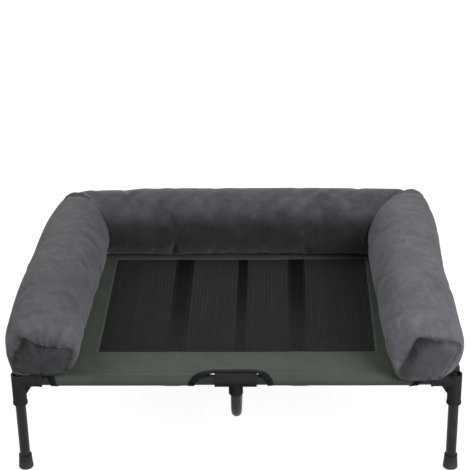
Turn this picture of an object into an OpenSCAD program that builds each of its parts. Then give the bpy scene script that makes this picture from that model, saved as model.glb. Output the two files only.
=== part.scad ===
// Raised dog cot: a knock-down frame of steel tube pushed into moulded connectors, a stretched
// fabric cover with a mesh panel, and a stuffed three-sided bolster that lifts off.
// The origin is on the floor under the middle of the cot: X along its length, Y to the back, Z up.

/* [Frame] */
// Distance between the left and right leg axes
frame_w = 1034; // [800:1:1300]
// Distance between the front and back leg axes
frame_d = 730; // [600:1:900]
// Height of the rail axes above the floor
rail_h = 247; // [200:1:320]
// Outer diameter of the steel tube
tube_d = 25; // [22:0.5:28]
// Wall of the steel tube
tube_wall = 1.2; // [0.8:0.1:2]
// Radial clearance of a tube in its socket
socket_clear = 0.3; // [0.1:0.05:0.5]

/* [Corner connectors] */
// Wall of a corner's rail sleeves
corner_wall = 3.2; // [2.5:0.1:4.5]
// Wall of a corner's leg socket
leg_socket_wall = 4; // [3:0.1:5]
// Reach of a corner's rail sleeves, from the leg axis
corner_reach = 56; // [48:1:66]
// Depth of the leg socket's mouth below the rail axes
leg_socket_drop = 64; // [50:1:90]
// Depth of the leg socket's stop below the rail axes
leg_stop = 10; // [4:1:16]
// Wall between the leg socket and the end of a rail
rail_stop_wall = 5.2; // [3:0.1:8]
// Thickness of the gusset webs
web_t = 6; // [4:0.5:9]
// Length of a gusset web along the rail sleeve, past the leg socket
web_run = 14; // [8:1:24]
// Length of a gusset web down the leg socket, below the rail sleeve
web_drop = 22; // [12:1:26]
// Length of the collar at a socket's mouth
collar_w = 5; // [3:0.5:8]
// Height of the collar above the socket
collar_t = 1; // [0.5:0.1:1.4]
// Diameter of the round recess in a corner's top
recess_d = 26; // [20:0.5:28]
// Depth of that recess
recess_depth = 8; // [4:0.5:12]
// Diameter of the boss that stands in the recess
boss_d = 11; // [6:0.5:14]
// Distance of the boss's top below the corner's top
boss_drop = 2; // [0.5:0.5:3]

/* [Tee connectors and brace] */
// Wall of the tee's sockets
tee_wall = 4.2; // [3:0.1:5]
// Half of the length of the tee's rail sleeve
tee_reach = 50; // [40:1:60]
// Depth of the brace socket's mouth below the rail axes
tee_drop = 36; // [32:1:48]
// Wall between the two rails inside the tee
tee_stop_wall = 8; // [4:0.5:12]
// Wall between the rail sleeve and the top of the brace
brace_stop_wall = 2; // [1.5:0.1:4]
// Drop of the brace's run below the rail axes
brace_drop = 109; // [95:1:130]
// Bend radius of the brace, at the tube's axis
bend_r = 45; // [35:1:55]

/* [Feet] */
// Height of a rubber foot
foot_h = 36; // [28:1:46]
// Wall of a foot at its base
foot_base_wall = 5.4; // [4:0.1:6.5]
// Wall of a foot at its rim
foot_rim_wall = 3.2; // [2.2:0.1:3.8]
// Height of a foot's straight rim
foot_rim_h = 6; // [4:0.5:9]
// Thickness of a foot's sole
foot_sole = 6; // [4:0.5:10]
// Chamfer round a foot's base
foot_chamfer = 1.5; // [0.5:0.1:2]
// Radial clearance of a leg in its foot
foot_clear = 0.1; // [0.05:0.05:0.3]

/* [Cover] */
// Thickness of the border fabric and the mesh
fabric_t = 1.2; // [0.8:0.1:2]
// Radial clearance of a rail in the cover's sleeve
sleeve_clear = 0.3; // [0.1:0.1:0.8]
// Width of a side border, from the rail axis to the mesh
side_border = 181; // [150:1:210]
// Width of the front border, from the rail axis to the mesh
front_border = 107; // [90:1:130]
// Width of the back border, from the rail axis to the mesh
back_border = 134; // [110:1:160]
// Distance of a corner cut-out's centre from each of the two rail axes
bite_in = 30; // [20:1:34]
// Length of bare rail between a corner connector and the cover
corner_bare = 18; // [10:1:24]
// Length of bare rail between a tee connector and the cover, at the top of the rail
tee_bare = 31; // [26:1:40]
// Depth of the cut-out over a tee, from the rail axis
arch_depth = 15; // [15:1:22]
// Radius of that cut-out's two shoulders
arch_round = 60; // [45:1:70]
// Width of the binding tape on the cut-outs
binding_w = 12; // [6:0.5:15]
// Thickness of the binding tape
binding_t = 0.8; // [0.5:0.1:1]
// Distance of each under-strap from the middle of the cot
strap_x = 150; // [110:1:200]
// Width of the under-strap webbing
strap_w = 45; // [25:1:50]
// Thickness of the under-strap webbing
strap_t = 1.5; // [1:0.1:2.5]
// Distance of a strap's end from the rail axis
strap_end = 16; // [15:1:25]

/* [Bolster] */
// Distance of a side roll's axis from the side rail axis
roll_inset = 80; // [70:1:95]
// Distance of the back roll's axis from the back rail axis
roll_back_inset = 77; // [70:1:95]
// Half of a roll's width
roll_half_w = 90; // [75:1:92]
// Height of a roll above the patches that it rests on
roll_height = 166; // [140:1:180]
// Depth by which a roll is pressed flat where it rests
roll_flat = 6; // [4:0.5:10]
// Distance of the left roll's end in front of the front rail axis
left_end_over = 8; // [0:1:12]
// Distance of the right roll's end in front of the front rail axis
right_end_over = 12; // [0:1:14]
// Rounding from a roll to its end panel
end_round = 25; // [16:1:32]
// Swell of a roll half-way along, as a share of its width
crown = 0.04; // [0:0.01:0.05]
// Draw-in of the rolls at the corner seams, as a share of their width
crease = 0.04; // [0.02:0.01:0.14]
// Rounding of the bolster's outer corners, as a share of the outer half of a roll
corner_round = 0.28; // [0.1:0.01:0.3]
// Length over which a roll is drawn in at a corner seam
crease_reach = 110; // [60:1:160]
// Thickness of the bolster's cover fabric
velvet_t = 2.5; // [1.5:0.1:4]
// Clearance between the cover and the fibre filling
fill_clear = 0.3; // [0.2:0.1:0.6]
// Clearance between an end panel and the cover round it
seam_clear = 0.3; // [0.1:0.1:0.6]
// Side of a hook or loop patch
patch_side = 40; // [30:1:42]
// Thickness of a hook or loop patch
patch_t = 1; // [0.8:0.1:1.5]
// Gap between a hook patch and its loop patch
patch_gap = 0.3; // [0.2:0.1:0.5]
// Spacing of the two patches under a side roll
side_patch_pitch = 300; // [240:1:340]
// Spacing of the two patches under the back roll
back_patch_pitch = 440; // [300:1:560]

/* [Hidden] */

$fn = 48;
// How far a cut runs past the face that it opens
eps = 1;

tube_colour = "#4a4c4e";
moulding_colour = "#3b3c3d";
rubber_colour = "#333434";
border_colour = "#5d6a5c";
mesh_colour = "#2f3031";
webbing_colour = "#1d1d1e";
velvet_colour = "#77767d";
fibre_colour = "#e9e9e6";

// Sockets and tubes
tube_r = tube_d / 2;
bore_r = tube_r + socket_clear;
corner_r = bore_r + corner_wall;
leg_socket_r = bore_r + leg_socket_wall;
tee_r = bore_r + tee_wall;
leg_x = frame_w / 2;
leg_y = frame_d / 2;
rail_stop = bore_r + rail_stop_wall;
rail_tee_end = tee_stop_wall / 2;
leg_top = rail_h - leg_stop;
foot_cup_r = tube_r + foot_clear;
foot_base_r = foot_cup_r + foot_base_wall;
foot_rim_r = foot_cup_r + foot_rim_wall;
brace_top = rail_h - bore_r - brace_stop_wall;
brace_z = rail_h - brace_drop;

// Cover: the deck is flush with the top of the sleeves
sleeve_r = tube_r + sleeve_clear;
deck_under = rail_h + sleeve_r;
deck_top = deck_under + fabric_t;
sleeve_out_r = sleeve_r + fabric_t;
mesh_half_w = leg_x - side_border;
mesh_front = -leg_y + front_border;
mesh_back = leg_y - back_border;
bite_reach = corner_reach + corner_bare;
bite_r = norm([bite_reach - bite_in, bite_in + sleeve_out_r]);
arch_flat = tee_reach + tee_bare - sqrt(arch_depth * (2 * arch_round - arch_depth));

// Bolster: it stands on hook patches, and they on loop patches on the deck
loop_z = deck_top;
hook_z = loop_z + patch_t + patch_gap;
roll_z = hook_z + patch_t;
roll_x = leg_x - roll_inset;
roll_y = leg_y - roll_back_inset;
section_half_h = (roll_height + roll_flat) / 2;
section_points = 24;
round_rings = 3;
body_rings = 9;
side_patch_mid = (roll_y - leg_y) / 2;

// Places a child built at the front left leg at the corner with the given signs
module at_corner(side_x, side_y) {
    mirror([side_x > 0 ? 1 : 0, 0, 0])
        mirror([0, side_y > 0 ? 1 : 0, 0])
            translate([-leg_x, -leg_y, 0])
                children();
}

// Round bar along +X, from x0 to x1
module bar_x(x0, x1, r) {
    translate([x0, 0, 0])
        rotate([0, 90, 0])
            cylinder(r = r, h = x1 - x0);
}

// Round bar along +Y, from y0 to y1
module bar_y(y0, y1, r) {
    translate([0, y0, 0])
        rotate([-90, 0, 0])
            cylinder(r = r, h = y1 - y0);
}

// Section of the steel tube
module tube_section() {
    difference() {
        circle(r = tube_r);
        circle(r = tube_r - tube_wall);
    }
}

// Steel tube along +X
module tube_x(x0, x1) {
    color(tube_colour)
        translate([x0, 0, rail_h])
            rotate([0, 90, 0])
                linear_extrude(x1 - x0)
                    tube_section();
}

// Web in the X-Z plane that fills the corner between a rail sleeve and the leg socket
module gusset() {
    reach = leg_socket_r + web_run;
    foot_z = -corner_r - web_drop;
    rotate([90, 0, 0])
        translate([0, 0, -web_t / 2])
            linear_extrude(web_t)
                polygon([[0, 0], [reach, 0], [reach, -corner_r], [leg_socket_r, foot_z], [0, foot_z]]);
}

// Corner moulding at a leg axis: a leg socket, two rail sleeves and their webs
module corner_connector() {
    mouth = rail_h - leg_socket_drop;
    color(moulding_colour)
        difference() {
            union() {
                translate([0, 0, mouth])
                    cylinder(r = leg_socket_r, h = leg_socket_drop + corner_r);
                translate([0, 0, mouth])
                    cylinder(r = leg_socket_r + collar_t, h = collar_w);
                translate([0, 0, rail_h]) {
                    bar_x(0, corner_reach, corner_r);
                    bar_y(0, corner_reach, corner_r);
                    bar_x(corner_reach - collar_w, corner_reach, corner_r + collar_t);
                    bar_y(corner_reach - collar_w, corner_reach, corner_r + collar_t);
                    gusset();
                    rotate(90)
                        gusset();
                }
            }
            translate([0, 0, mouth - eps])
                cylinder(r = bore_r, h = leg_top - mouth + eps);
            translate([0, 0, rail_h + corner_r - recess_depth])
                difference() {
                    cylinder(d = recess_d, h = recess_depth + eps);
                    cylinder(d = boss_d, h = recess_depth - boss_drop);
                }
            translate([0, 0, rail_h]) {
                bar_x(rail_stop, corner_reach + eps, bore_r);
                bar_y(rail_stop, corner_reach + eps, bore_r);
            }
        }
}

// Tee moulding over the middle of a long side: a rail sleeve each way and a brace socket below
module tee_connector(side_y) {
    mouth = rail_h - tee_drop;
    color(moulding_colour)
        translate([0, side_y * leg_y, 0])
            difference() {
                union() {
                    translate([0, 0, rail_h])
                        bar_x(-tee_reach, tee_reach, tee_r);
                    translate([0, 0, mouth])
                        cylinder(r = tee_r, h = tee_drop);
                }
                translate([0, 0, rail_h]) {
                    bar_x(-tee_reach - eps, -rail_tee_end, bore_r);
                    bar_x(rail_tee_end, tee_reach + eps, bore_r);
                }
                translate([0, 0, mouth - eps])
                    cylinder(r = bore_r, h = brace_top - mouth + eps);
            }
}

// Half of a long rail, from a corner's stop to the tee's stop
module long_rail(side_x, side_y) {
    at_corner(side_x, side_y)
        tube_x(rail_stop, leg_x - rail_tee_end);
}

// Short rail, from a front corner's stop to a back corner's stop
module side_rail(side_x) {
    translate([side_x * leg_x, 0, 0])
        rotate(90)
            tube_x(rail_stop - leg_y, leg_y - rail_stop);
}

// Bent brace: down from the front tee, back under the deck and up into the back tee
module centre_brace() {
    color(tube_colour)
        union() {
            for (side_y = [0, 1])
                mirror([0, side_y, 0]) {
                    translate([0, leg_y, brace_z + bend_r])
                        linear_extrude(brace_top - brace_z - bend_r)
                            tube_section();
                    translate([0, leg_y - bend_r, brace_z + bend_r])
                        rotate([-90, 0, 90])
                            rotate_extrude(angle = 90)
                                translate([bend_r, 0])
                                    tube_section();
                }
            translate([0, bend_r - leg_y, brace_z])
                rotate([-90, 0, 0])
                    linear_extrude(frame_d - 2 * bend_r)
                        tube_section();
        }
}

// Leg tube, from the foot's sole to the socket's stop
module leg(side_x, side_y) {
    color(tube_colour)
        at_corner(side_x, side_y)
            translate([0, 0, foot_sole])
                linear_extrude(leg_top - foot_sole)
                    tube_section();
}

// Rubber foot: a cup that widens from a straight rim to the floor
module foot(side_x, side_y) {
    color(rubber_colour)
        at_corner(side_x, side_y)
            rotate_extrude()
                polygon([
                    [0, 0],
                    [foot_base_r - foot_chamfer, 0],
                    [foot_base_r, foot_chamfer],
                    [foot_rim_r, foot_h - foot_rim_h],
                    [foot_rim_r, foot_h],
                    [foot_cup_r, foot_h],
                    [foot_cup_r, foot_sole],
                    [0, foot_sole]
                ]);
}

// Section across a border strip: the sleeve round the rail and the flat deck next to it
module strip_section(deck_w) {
    difference() {
        union() {
            circle(r = sleeve_out_r);
            translate([0, sleeve_r])
                square([deck_w, fabric_t]);
        }
        circle(r = sleeve_r);
    }
}

// Cut-out round the front left leg, seen from above and widened by margin
module corner_bite(margin) {
    translate([bite_in, bite_in])
        circle(r = bite_r + margin);
}

// Flat-topped cut-out over the front tee, seen from above and widened by margin
module tee_arch(margin) {
    top = arch_depth + margin - leg_y;
    for (side_x = [-1, 1])
        translate([side_x * arch_flat, arch_depth - arch_round - leg_y])
            circle(r = arch_round + margin);
    translate([-arch_flat, top - arch_round])
        square([2 * arch_flat, arch_round]);
}

// Keeps what lies over a plan outline and outside the cut-outs
module trimmed_to_plan() {
    reach = sleeve_out_r + eps;
    intersection() {
        children(0);
        translate([0, 0, rail_h - reach])
            linear_extrude(2 * reach)
                difference() {
                    children(1);
                    for (side_x = [-1, 1], side_y = [-1, 1])
                        at_corner(side_x, side_y)
                            corner_bite(0);
                    for (side_y = [0, 1])
                        mirror([0, side_y, 0])
                            tee_arch(0);
                }
    }
}

// Long border strip, with the mesh's edge at mesh_edge and mitred seams at both ends
module long_strip(side_y, deck_w) {
    outside = leg_y + 2 * sleeve_r;
    mesh_edge = leg_y - deck_w;
    color(border_colour)
        mirror([0, side_y > 0 ? 1 : 0, 0])
            trimmed_to_plan() {
                translate([-leg_x, -leg_y, rail_h])
                    rotate([90, 0, 90])
                        linear_extrude(frame_w)
                            strip_section(deck_w);
                polygon([
                    [-leg_x, -outside], [leg_x, -outside], [leg_x, -leg_y],
                    [mesh_half_w, -mesh_edge], [-mesh_half_w, -mesh_edge], [-leg_x, -leg_y]
                ]);
            }
}

// Short border strip, between the mitred seams of the two long ones
module short_strip(side_x) {
    outside = leg_x + 2 * sleeve_r;
    color(border_colour)
        mirror([side_x > 0 ? 1 : 0, 0, 0])
            trimmed_to_plan() {
                translate([-leg_x, leg_y, rail_h])
                    rotate([90, 0, 0])
                        linear_extrude(frame_d)
                            strip_section(leg_x - mesh_half_w);
                polygon([
                    [-outside, -leg_y], [-leg_x, -leg_y], [-mesh_half_w, mesh_front],
                    [-mesh_half_w, mesh_back], [-leg_x, leg_y], [-outside, leg_y]
                ]);
            }
}

// Woven mesh panel sewn into the border
module mesh_panel() {
    color(mesh_colour)
        translate([-mesh_half_w, mesh_front, deck_under])
            cube([2 * mesh_half_w, mesh_back - mesh_front, fabric_t]);
}

// Webbing strap that runs under the deck from sleeve to sleeve
module strap(side_x) {
    color(webbing_colour)
        translate([side_x * strap_x - strap_w / 2, strap_end - leg_y, deck_under - strap_t])
            cube([strap_w, frame_d - 2 * strap_end, strap_t]);
}

// Binding tape along a corner cut-out
module corner_binding(side_x, side_y) {
    color(webbing_colour)
        at_corner(side_x, side_y)
            translate([0, 0, deck_top])
                linear_extrude(binding_t)
                    intersection() {
                        difference() {
                            corner_bite(binding_w);
                            corner_bite(0);
                        }
                        square(leg_y);
                    }
}

// Binding tape along the cut-out over a tee
module arch_binding(side_y) {
    color(webbing_colour)
        mirror([0, side_y > 0 ? 1 : 0, 0])
            translate([0, 0, deck_top])
                linear_extrude(binding_t)
                    intersection() {
                        difference() {
                            tee_arch(binding_w);
                            tee_arch(0);
                        }
                        translate([-leg_x, -leg_y])
                            square([frame_w, leg_y]);
                    }
}

// Two square patches of hook or loop tape at a given height
module patch_pair(first, second, z) {
    color(webbing_colour)
        for (place = [first, second])
            translate([place[0] - patch_side / 2, place[1] - patch_side / 2, z])
                cube([patch_side, patch_side, patch_t]);
}

// Patches under a side roll
module side_patches(side_x, z) {
    x = side_x * roll_x;
    patch_pair(
        [x, side_patch_mid - side_patch_pitch / 2],
        [x, side_patch_mid + side_patch_pitch / 2],
        z
    );
}

// Patches under the back roll
module back_patches(z) {
    patch_pair([-back_patch_pitch / 2, roll_y], [back_patch_pitch / 2, roll_y], z);
}

// A roll's section: an ellipse pressed flat at the bottom, with its skin drawn in by inset, scaled
// by grow, and with its outer half narrowed by trim. Each point is its distance outwards from the
// roll's axis and its height
function section(inset, grow, trim) = [
    for (i = [0 : section_points - 1])
        let (angle = 360 * i / section_points)
        let (rise = max(0, section_half_h * (1 + sin(angle)) - roll_flat))
        let (side = cos(angle) > 0 ? 1 - trim : 1)
        [
            grow * side * (roll_half_w - inset) * cos(angle),
            roll_z + inset + grow * rise * (roll_height - 2 * inset) / roll_height
        ]
];

// Share of a roll's length at ring k, with the rings closer together towards a corner seam
function ring_share(k) = sin(90 * k / (body_rings - 1));

// Section of a roll's body at a share of the way to a corner seam, which draws it in over the last
// reach of that way. The outer side follows an eighth of a circle there, and bulge is the swell
function body_section(inset, bulge, share, reach) =
    let (near = max(0, (share - 1 + reach) / reach))
    let (arc = (1 - sqrt(1 - near * near / 2)) / (1 - sqrt(1 / 2)))
    section(inset, 1 + crown * bulge - crease * near * near, corner_round * arc);

// Triangles that join rings of points into a closed skin with flat ends
function skin_faces(rings) = [
    for (r = [0 : rings - 2], i = [0 : section_points - 1])
        let (j = (i + 1) % section_points)
        let (a = r * section_points)
        let (b = a + section_points)
        each [[a + i, b + i, b + j], [a + i, b + j, a + j]],
    for (i = [1 : section_points - 2])
        each [
            [0, i, i + 1],
            let (last = (rings - 1) * section_points) [last, last + i + 1, last + i]
        ]
];

// Points of a side roll with its skin drawn in by inset, from its rounded front end back to the
// corner seam, which lies on the diagonal through the point where the roll axes meet. The roll runs
// past that seam by the given length
function side_points(end_over, inset, past) =
    let (front = -leg_y - end_over)
    let (body = front + end_round)
    let (turn = end_round - inset)
    let (reach = crease_reach / (roll_y - body))
    [
        for (k = [0 : round_rings - 1])
            let (angle = 90 * k / round_rings)
            for (p = section(inset + turn * (1 - sin(angle)), 1, 0))
                [-roll_x - p[0], body - turn * cos(angle), p[1]],
        for (k = [0 : body_rings - 1])
            let (share = ring_share(k))
            for (p = body_section(inset, sin(180 * share), share, reach))
                [-roll_x - p[0], body + share * (roll_y + p[0] + past - body), p[1]]
    ];

// Solid of the left roll with its skin drawn in by inset
module side_roll(end_over, inset, past = 0) {
    polyhedron(
        points = side_points(end_over, inset, past),
        faces = skin_faces(round_rings + body_rings),
        convexity = 4
    );
}

// Points of the back roll, from the left corner seam to the right one and past both by past
function back_points(inset, past) =
    let (reach = crease_reach / roll_x)
    [
        for (k = [1 - body_rings : body_rings - 1])
            let (share = ring_share(k))
            for (p = body_section(inset, cos(90 * share), abs(share), reach))
                [share * (roll_x + p[0] + past), roll_y + p[0], p[1]]
    ];

// Solid of the back roll with its skin drawn in by inset
module back_roll(inset, past = 0) {
    polyhedron(
        points = back_points(inset, past),
        faces = skin_faces(2 * body_rings - 1),
        convexity = 4
    );
}

// Flat disc that closes the front end of the left roll, from depth0 to depth1 behind that end and
// widened by margin
module end_disc(end_over, depth0, depth1, margin) {
    translate([-roll_x, -leg_y - end_over + depth1, 0])
        rotate([90, 0, 0])
            linear_extrude(depth1 - depth0)
                polygon(section(end_round - margin, 1, 0));
}

// Velvet sleeve of a side roll, open at the end panel and at the corner seam
module bolster_side_cover(side_x, end_over) {
    color(velvet_colour)
        mirror([side_x > 0 ? 1 : 0, 0, 0])
            difference() {
                side_roll(end_over, 0);
                side_roll(end_over, velvet_t, eps);
                end_disc(end_over, -eps, velvet_t + eps, seam_clear);
            }
}

// Velvet sleeve of the back roll, open at both corner seams
module bolster_back_cover() {
    color(velvet_colour)
        difference() {
            back_roll(0);
            back_roll(velvet_t, eps);
        }
}

// Velvet end panel sewn into the front of a side roll
module bolster_end(side_x, end_over) {
    color(velvet_colour)
        mirror([side_x > 0 ? 1 : 0, 0, 0])
            end_disc(end_over, 0, velvet_t, 0);
}

// Fibre filling of a side roll
module bolster_side_filling(side_x, end_over) {
    color(fibre_colour)
        mirror([side_x > 0 ? 1 : 0, 0, 0])
            side_roll(end_over, velvet_t + fill_clear);
}

// Fibre filling of the back roll
module bolster_back_filling() {
    color(fibre_colour)
        back_roll(velvet_t + fill_clear);
}

at_corner(-1, -1) corner_connector();  // corner_connector_front_left
at_corner(1, -1) corner_connector();  // corner_connector_front_right
at_corner(-1, 1) corner_connector();  // corner_connector_back_left
at_corner(1, 1) corner_connector();  // corner_connector_back_right
tee_connector(-1);  // tee_connector_front
tee_connector(1);  // tee_connector_back
long_rail(-1, -1);  // rail_front_left
long_rail(1, -1);  // rail_front_right
long_rail(-1, 1);  // rail_back_left
long_rail(1, 1);  // rail_back_right
side_rail(-1);  // rail_side_left
side_rail(1);  // rail_side_right
centre_brace();
leg(-1, -1);  // leg_front_left
leg(1, -1);  // leg_front_right
leg(-1, 1);  // leg_back_left
leg(1, 1);  // leg_back_right
foot(-1, -1);  // foot_front_left
foot(1, -1);  // foot_front_right
foot(-1, 1);  // foot_back_left
foot(1, 1);  // foot_back_right
long_strip(-1, front_border);  // cover_front
long_strip(1, back_border);  // cover_back
short_strip(-1);  // cover_left
short_strip(1);  // cover_right
mesh_panel();
strap(-1);  // strap_left
strap(1);  // strap_right
corner_binding(-1, -1);  // corner_binding_front_left
corner_binding(1, -1);  // corner_binding_front_right
corner_binding(-1, 1);  // corner_binding_back_left
corner_binding(1, 1);  // corner_binding_back_right
arch_binding(-1);  // arch_binding_front
arch_binding(1);  // arch_binding_back
side_patches(-1, loop_z);  // loop_patches_left
side_patches(1, loop_z);  // loop_patches_right
back_patches(loop_z);  // loop_patches_back
side_patches(-1, hook_z);  // hook_patches_left
side_patches(1, hook_z);  // hook_patches_right
back_patches(hook_z);  // hook_patches_back
bolster_side_cover(-1, left_end_over);  // bolster_cover_left
bolster_side_cover(1, right_end_over);  // bolster_cover_right
bolster_back_cover();  // bolster_cover_back
bolster_end(-1, left_end_over);  // bolster_end_left
bolster_end(1, right_end_over);  // bolster_end_right
bolster_side_filling(-1, left_end_over);  // bolster_filling_left
bolster_side_filling(1, right_end_over);  // bolster_filling_right
bolster_back_filling();  // bolster_filling_back
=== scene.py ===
import bmesh
import bpy
import numpy as np
from mathutils import Matrix, Vector


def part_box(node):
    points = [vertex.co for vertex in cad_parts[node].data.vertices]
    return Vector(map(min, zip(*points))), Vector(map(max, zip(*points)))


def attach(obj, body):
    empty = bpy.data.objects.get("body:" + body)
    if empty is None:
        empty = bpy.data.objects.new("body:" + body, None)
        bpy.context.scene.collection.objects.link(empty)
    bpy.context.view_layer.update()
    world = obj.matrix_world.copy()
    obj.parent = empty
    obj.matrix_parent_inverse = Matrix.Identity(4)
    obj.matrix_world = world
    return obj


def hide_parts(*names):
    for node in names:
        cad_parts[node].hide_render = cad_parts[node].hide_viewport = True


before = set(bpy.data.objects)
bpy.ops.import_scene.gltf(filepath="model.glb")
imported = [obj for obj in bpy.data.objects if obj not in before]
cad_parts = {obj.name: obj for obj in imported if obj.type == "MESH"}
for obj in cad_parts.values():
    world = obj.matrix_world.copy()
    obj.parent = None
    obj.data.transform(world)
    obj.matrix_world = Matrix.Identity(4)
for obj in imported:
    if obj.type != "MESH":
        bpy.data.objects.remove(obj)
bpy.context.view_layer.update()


# Frame tubes: legs, rails and the bent centre brace. Welded steel tube 25 mm across, sawn to length, bent
# for the brace, and powder coated dark grey. The ends are pushed into moulded sockets and rubber feet.
def linear(code):
    """sRGB hex colour as linear RGBA: ((c + 0.055) / 1.055) ** 2.4, with the straight toe below 0.04."""
    c = np.array([int(code[i:i + 2], 16) for i in (1, 3, 5)]) / 255
    return (*np.where(c > 0.04045, ((c + 0.055) / 1.055) ** 2.4, c / 12.92), 1.0)


def per_mm(size):
    """Texture scale whose features are `size` millimetres across on coordinates in metres."""
    return 1000 / size


def feed(tree, node, inputs):
    """Sets a node's inputs: each takes a value, another node's socket, or a node for its first output."""
    for key, value in dict(inputs).items():
        if isinstance(value, bpy.types.Node):
            value = next(socket for socket in value.outputs if socket.enabled)
        if isinstance(value, bpy.types.NodeSocket):
            tree.links.new(value, node.inputs[key])
        else:
            node.inputs[key].default_value = value


def add(tree, kind, inputs=(), **settings):
    """Adds one shader node: its settings first, then its inputs."""
    node = tree.nodes.new("ShaderNode" + kind)
    for key, value in settings.items():
        setattr(node, key, value)
    feed(tree, node, inputs)
    return node


def new_finish(name, **sockets):
    """A material with one Principled shader, whose uniform sockets are set by name with _ for a space."""
    made = bpy.data.materials.new(name)
    made.use_nodes = True
    shader = made.node_tree.nodes["Principled BSDF"]
    feed(made.node_tree, shader, {key.replace("_", " "): value for key, value in sockets.items()})
    return made, made.node_tree, shader


def dress(finish, prefix):
    """Gives a finish to every solid whose name starts with the prefix."""
    for name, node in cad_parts.items():
        if name.startswith(prefix):
            for held in node.material_slots:
                held.material = finish


def powder_coated_steel(name, plain, scuffed):
    """Powder coat: satin, an orange-peel skin about 1.5 mm across and faint scuffs, paler and duller."""
    finish, tree, shader = new_finish(name, IOR=1.5, Specular_IOR_Level=0.22)
    where = add(tree, "TexCoord").outputs["Object"]
    peel = add(tree, "TexNoise", {"Vector": where, "Scale": per_mm(1.5), "Detail": 2.0})
    scuff = add(tree, "TexNoise", {"Vector": where, "Scale": per_mm(22), "Detail": 6.0, "Roughness": 0.7})
    worn = add(tree, "MapRange", {"Value": scuff, "From Min": 0.5, "From Max": 0.72})
    colour = add(tree, "Mix", {0: worn, 6: linear(plain), 7: linear(scuffed)}, data_type="RGBA")
    rough = add(tree, "MapRange", {"Value": worn, "To Min": 0.4, "To Max": 0.58})
    skin = add(tree, "Bump", {"Height": peel, "Strength": 0.25, "Distance": 0.0002})
    feed(tree, shader, {"Base Color": colour, "Roughness": rough, "Normal": skin})
    return finish


coat = powder_coated_steel("powder_coated_steel", "#1d1f20", "#2d2f30")
dress(coat, "leg_")
dress(coat, "rail_")
# The brace gets a paler copy of the same coat: painted light on it, where the rails keep the darker one.
dress(powder_coated_steel("powder_coated_brace_painted_paler", "#2c2e2f", "#3c3e3f"), "centre_brace")


# Connectors: four corner sockets with gussets and two tees over the middle of the long rails. Polypropylene,
# injection moulded with a fine spark-eroded grain, each pushed over its tubes.
def moulded_polypropylene(name, dark, pale, gloss):
    """Moulded plastic: a matte 0.8 mm grain, drawn coarser than the real 0.2 mm so that it shows, slow clouds
    of tone and polish, and rubbed edges, which are paler."""
    finish, tree, shader = new_finish(name, IOR=1.49, Specular_IOR_Level=gloss)
    where = add(tree, "TexCoord").outputs["Object"]
    grain = add(tree, "TexNoise", {"Vector": where, "Scale": per_mm(0.8), "Detail": 3.0})
    cloud = add(tree, "TexNoise", {"Vector": where, "Scale": per_mm(30), "Detail": 4.0})
    edge = add(tree, "NewGeometry").outputs["Pointiness"]
    rubbed = add(tree, "MapRange", {"Value": edge, "From Min": 0.52, "From Max": 0.62})
    body = add(tree, "Mix", {0: cloud, 6: linear(dark), 7: linear(pale)}, data_type="RGBA")
    colour = add(tree, "Mix", {0: rubbed, 6: body, 7: linear("#2c2d2e")}, data_type="RGBA")
    rough = add(tree, "MapRange", {"Value": cloud, "To Min": 0.7, "To Max": 0.85})
    skin = add(tree, "Bump", {"Height": grain, "Strength": 0.3, "Distance": 0.0002})
    feed(tree, shader, {"Base Color": colour, "Roughness": rough, "Normal": skin})
    return finish


dress(moulded_polypropylene("moulded_sockets", "#1f2020", "#282929", 0.18), "corner_connector")
# The tees get a darker, less glossy copy of the sockets' moulding: painted shade, for the shade the cover
# casts on them.
dress(moulded_polypropylene("moulded_tees_painted_shade", "#0f1010", "#171717", 0.06), "tee_connector")


# Feet: black rubber cups moulded with a wider rim at the floor, stretched over the ends of the legs.
# The rubber picks up pale dust, most of all low down near the floor.
def dusty_rubber():
    """Moulded rubber: matte, a soft 4 mm unevenness, and grey dust that fades out 25 mm above the floor."""
    finish, tree, shader = new_finish("dusty_rubber", IOR=1.52, Specular_IOR_Level=0.3)
    where = add(tree, "TexCoord").outputs["Object"]
    height = add(tree, "SeparateXYZ", {"Vector": where}).outputs["Z"]
    low = add(tree, "MapRange", {"Value": height, "From Min": 0.025, "From Max": 0.0})
    speck = add(tree, "TexNoise", {"Vector": where, "Scale": per_mm(4), "Detail": 8.0, "Roughness": 0.75})
    dust = add(tree, "Math", {0: low, 1: speck}, operation="MULTIPLY")
    colour = add(tree, "Mix", {0: dust, 6: linear("#1d1e1e"), 7: linear("#5a5954")}, data_type="RGBA")
    rough = add(tree, "MapRange", {"Value": speck, "To Min": 0.6, "To Max": 0.85})
    skin = add(tree, "Bump", {"Height": speck, "Strength": 0.2, "Distance": 0.0003})
    feed(tree, shader, {"Base Color": colour, "Roughness": rough, "Normal": skin})
    return finish


dress(dusty_rubber(), "foot_")


# Border of the cover: four strips of coated plain-woven polyester, sage green, sewn to the mesh and to each
# other. Each runs round its rail as a sleeve, cut away at its ends, and the long ones over the tees too.
leg_low, leg_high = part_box("leg_back_right")
LEG_X = (leg_low.x + leg_high.x) / 2
LEG_Y = (leg_low.y + leg_high.y) / 2
rail_low, rail_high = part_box("rail_side_left")
RAIL_Z = (rail_low.z + rail_high.z) / 2
mesh_low, mesh_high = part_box("mesh_panel")
DECK_TOP = mesh_high.z
SIDE_BORDER = LEG_X - mesh_high.x
FRONT_BORDER = LEG_Y + mesh_low.y
BACK_BORDER = LEG_Y - mesh_high.y
CLOTH = 0.0012
SAG = 0.005
# The slack waves of the cloth: how high, how long, and the slower sway that spaces them unevenly
SLACK_WAVE = 0.0008
WAVE_LONG = 0.021
WAVE_SWAY = 0.057
# The folded hem beside the mesh: its width, its rise and how wide the step up to it is
HEM = 0.009
HEM_LUMP = 0.0005
HEM_STEP = 0.003
# The sleeve round a rail: its radius, how far it wraps, and the dent of the seam that closes it
SLEEVE_R = DECK_TOP - RAIL_Z
SLEEVE_WRAP = 5.6 * SLEEVE_R
SLEEVE_SEAM = 0.010
SEAM_DENT = 0.0008
SEAM_WIDE = 0.004
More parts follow.
